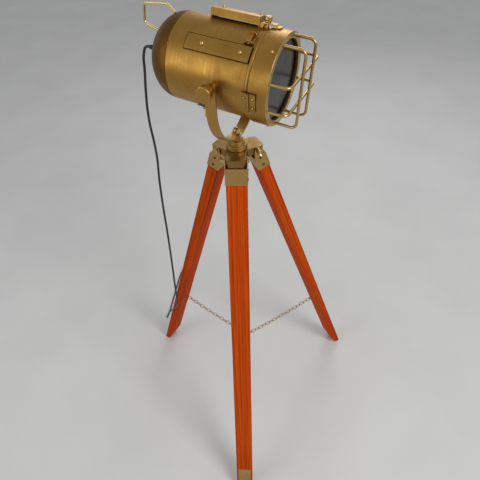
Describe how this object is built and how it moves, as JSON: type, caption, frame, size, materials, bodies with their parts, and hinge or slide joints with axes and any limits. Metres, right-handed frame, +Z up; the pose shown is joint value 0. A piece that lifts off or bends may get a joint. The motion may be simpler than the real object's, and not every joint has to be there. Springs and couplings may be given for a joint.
{
  "type": "tripod spotlight",
  "caption": "Brass drum spotlight with a domed back, wire guard and vent covers, tilting in a U-shaped yoke on folding wooden tripod legs held by chains",
  "frame": {"origin": "centre of the base of the box round the lamp and stand, on the floor; the cord and plug are left out of that box", "axes": "+Z up; the front leg points along -Y and the lamp shines towards +X, turned a little to -Y"},
  "size_m": [0.7526, 1.0225, 1.379],
  "materials": {
    "antique_brass": "satin antique brass",
    "bright_brass": "polished brass",
    "honey_wood": "clear-lacquered orange-red wood",
    "clear_glass": "clear",
    "black_rubber": "black",
    "black_plastic": "black",
    "bright_mirror": "polished"
  },
  "bodies": {
    "stand": {"head_casting": "antique_brass", "swivel_post": "antique_brass", "cord": "black_rubber", "plug": "black_plastic"},
    "leg_front": {"leg_front": "honey_wood", "leg_bracket_front": "antique_brass", "hinge_bolt_front": "bright_brass", "toe_plate_front": "antique_brass", "chain_eye_front": "bright_brass"},
    "wing_nut_front": {"wing_nut_front": "antique_brass"},
    "chain_front": {"chain_strand_front": "bright_brass", "chain_ring": "bright_brass"},
    "leg_right": {"leg_right": "honey_wood", "leg_bracket_right": "antique_brass", "hinge_bolt_right": "bright_brass", "toe_plate_right": "antique_brass", "chain_eye_right": "bright_brass"},
    "wing_nut_right": {"wing_nut_right": "antique_brass"},
    "chain_right": {"chain_strand_right": "bright_brass"},
    "leg_left": {"leg_left": "honey_wood", "leg_bracket_left": "antique_brass", "hinge_bolt_left": "bright_brass", "toe_plate_left": "antique_brass", "chain_eye_left": "bright_brass"},
    "wing_nut_left": {"wing_nut_left": "antique_brass"},
    "chain_left": {"chain_strand_left": "bright_brass"},
    "yoke": {"yoke": "antique_brass"},
    "yoke_nut": {"yoke_nut": "bright_brass"},
    "lamp": {"drum_shell": "antique_brass", "rear_dome": "antique_brass", "rear_handle": "bright_brass", "vent_cover_near": "antique_brass", "vent_cover_far": "antique_brass", "vent_cover_top": "antique_brass", "cover_nut_1": "antique_brass", "cover_nut_2": "antique_brass", "tilt_trunnion_far": "bright_brass", "tilt_trunnion_near": "bright_brass", "hinge_leaf_drum": "antique_brass", "hinge_pin": "antique_brass", "clasp_strap": "antique_brass", "catch_lug": "antique_brass", "switch_body": "black_plastic", "reflector": "bright_mirror", "lampholder": "black_plastic", "bulb": "clear_glass", "gland_nipple": "bright_brass", "strain_relief": "black_rubber"},
    "tilt_knob_far": {"tilt_knob_far": "antique_brass"},
    "tilt_knob_near": {"tilt_knob_near": "antique_brass"},
    "door": {"door_ring": "antique_brass", "door_glass": "clear_glass", "glass_gasket": "black_rubber", "guard_wires": "bright_brass", "hinge_leaf_ring": "antique_brass", "ring_screw_1": "bright_brass", "ring_screw_2": "bright_brass", "ring_screw_3": "bright_brass"},
    "clasp_screw": {"clasp_screw": "bright_brass"},
    "switch_toggle": {"switch_toggle": "bright_brass"}
  },
  "joints": [
    {"name": "leg_fold_front", "type": "hinge", "parent": "stand", "child": "leg_front", "pos_m": [0, 0.052, 1.066], "axis": [1, 0, 0], "range_deg": [0, 18.5]},
    {"name": "leg_fold_right", "type": "hinge", "parent": "stand", "child": "leg_right", "pos_m": [0.03637, 0.115, 1.066], "axis": [-0.5, 0.866, 0], "range_deg": [0, 18.5]},
    {"name": "leg_fold_left", "type": "hinge", "parent": "stand", "child": "leg_left", "pos_m": [-0.03637, 0.115, 1.066], "axis": [-0.5, -0.866, 0], "range_deg": [0, 18.5]},
    {"name": "wing_nut_turn_front", "type": "hinge", "parent": "leg_front", "child": "wing_nut_front", "pos_m": [0, 0.052, 1.066], "axis": [-1, 0, 0], "continuous": true},
    {"name": "wing_nut_turn_right", "type": "hinge", "parent": "leg_right", "child": "wing_nut_right", "pos_m": [0.03637, 0.115, 1.066], "axis": [0.5, -0.866, 0], "continuous": true},
    {"name": "wing_nut_turn_left", "type": "hinge", "parent": "leg_left", "child": "wing_nut_left", "pos_m": [-0.03637, 0.115, 1.066], "axis": [0.5, 0.866, 0], "continuous": true},
    {"name": "chain_swing_front", "type": "hinge", "parent": "leg_front", "child": "chain_front", "pos_m": [0, -0.16468, 0.35077], "axis": [-1, 0, 0], "range_deg": [0, 96.6]},
    {"name": "chain_swing_right", "type": "hinge", "parent": "leg_right", "child": "chain_right", "pos_m": [0.22402, 0.22333, 0.35077], "axis": [0.5, -0.866, 0], "range_deg": [0, 96.6]},
    {"name": "chain_swing_left", "type": "hinge", "parent": "leg_left", "child": "chain_left", "pos_m": [-0.22402, 0.22333, 0.35077], "axis": [0.5, 0.866, 0], "range_deg": [0, 96.6]},
    {"name": "lamp_pan", "type": "hinge", "parent": "stand", "child": "yoke", "pos_m": [0, 0.094, 1.266], "axis": [0, 0, 1], "range_deg": [-170, 170], "deforming": ["cord"]},
    {"name": "yoke_nut_turn", "type": "hinge", "parent": "yoke", "child": "yoke_nut", "pos_m": [0, 0.094, 1.266], "axis": [0, 0, 1], "continuous": true},
    {"name": "lamp_tilt", "type": "hinge", "parent": "yoke", "child": "lamp", "pos_m": [0, 0.094, 1.266], "axis": [0.3825, 0.9239, 0], "range_deg": [-50, 40], "deforming": ["cord"]},
    {"name": "knob_turn_far", "type": "hinge", "parent": "lamp", "child": "tilt_knob_far", "pos_m": [0, 0.094, 1.266], "axis": [0.3825, 0.9239, 0], "continuous": true},
    {"name": "knob_turn_near", "type": "hinge", "parent": "lamp", "child": "tilt_knob_near", "pos_m": [0, 0.094, 1.266], "axis": [0.3825, 0.9239, 0], "continuous": true},
    {"name": "door_open", "type": "hinge", "parent": "lamp", "child": "door", "pos_m": [0.03442, -0.02229, 1.24618], "axis": [-0.0248, 0.1609, -0.9867], "range_deg": [0, 110]},
    {"name": "clasp_screw_turn", "type": "hinge", "parent": "lamp", "child": "clasp_screw", "pos_m": [0.07159, 0.0809, 1.34689], "axis": [0.144, 0.1283, 0.9812], "continuous": true},
    {"name": "switch_throw", "type": "hinge", "parent": "lamp", "child": "switch_toggle", "pos_m": [-0.05779, 0.06448, 1.19613], "axis": [-0.2731, -0.7842, 0.5572], "range_deg": [-24, 0]}
  ],
  "couplings": [
    {"joint": "chain_swing_front", "follows": "leg_fold_front", "ratio": 5.2077},
    {"joint": "chain_swing_right", "follows": "leg_fold_right", "ratio": 5.2077},
    {"joint": "chain_swing_left", "follows": "leg_fold_left", "ratio": 5.2077}
  ]
}
